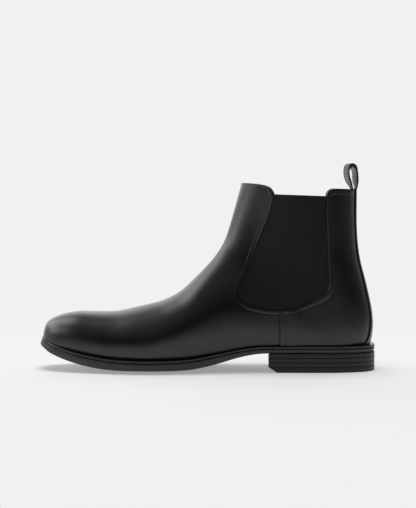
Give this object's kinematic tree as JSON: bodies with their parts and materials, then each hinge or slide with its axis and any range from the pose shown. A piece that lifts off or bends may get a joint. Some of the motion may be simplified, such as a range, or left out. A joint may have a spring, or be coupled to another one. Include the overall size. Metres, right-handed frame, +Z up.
{
  "type": "chelsea boot",
  "caption": "Ankle-high black leather boot with elastic side gores, a pull loop at the back, a welted sole and a low stacked heel.",
  "frame": {"origin": "on the floor, below the centre of the boot's box", "axes": "+X from toe to heel, +Y to the inner side of the foot, +Z up"},
  "size_m": [0.3049, 0.0974, 0.1873],
  "materials": {
    "upper_leather": "smooth polished calf, semi-gloss",
    "strap": "folded leather strap, semi-matt",
    "elastic": "woven elastic, matt",
    "lining": "thin lining leather, matt",
    "welt": "dyed and waxed edge",
    "sole_rubber": "satin",
    "heel_stack": "dyed stacked leather, waxed",
    "fibre_board": "pressed leather fibre",
    "cork": "granular cork",
    "foam": "soft foam",
    "steel": "plain"
  },
  "bodies": {
    "boot": {"vamp": "upper_leather", "quarter_lateral": "upper_leather", "quarter_medial": "upper_leather", "gore_lateral": "elastic", "gore_medial": "elastic", "backstay": "upper_leather", "vamp_lining": "lining", "quarter_lining": "lining", "toe_puff": "fibre_board", "heel_counter": "fibre_board", "welt": "welt", "outsole": "sole_rubber", "bottom_filler": "cork", "shank": "steel", "insole": "fibre_board", "heel_pad": "foam", "sock_liner": "lining", "heel_top_piece": "sole_rubber", "heel_lift_1": "heel_stack", "heel_lift_2": "heel_stack", "heel_lift_3": "heel_stack", "heel_nail_1": "steel", "heel_nail_2": "steel", "heel_nail_3": "steel", "heel_nail_4": "steel", "heel_nail_5": "steel"},
    "pull_loop": {"pull_loop": "strap"}
  },
  "joints": [
    {"name": "pull_loop_bend", "type": "hinge", "parent": "boot", "child": "pull_loop", "pos_m": [0.1333, 0, 0.1652], "axis": [0, 1, 0], "range_deg": [-60, 40], "stiffness_Nm_per_rad": 0.01}
  ]
}
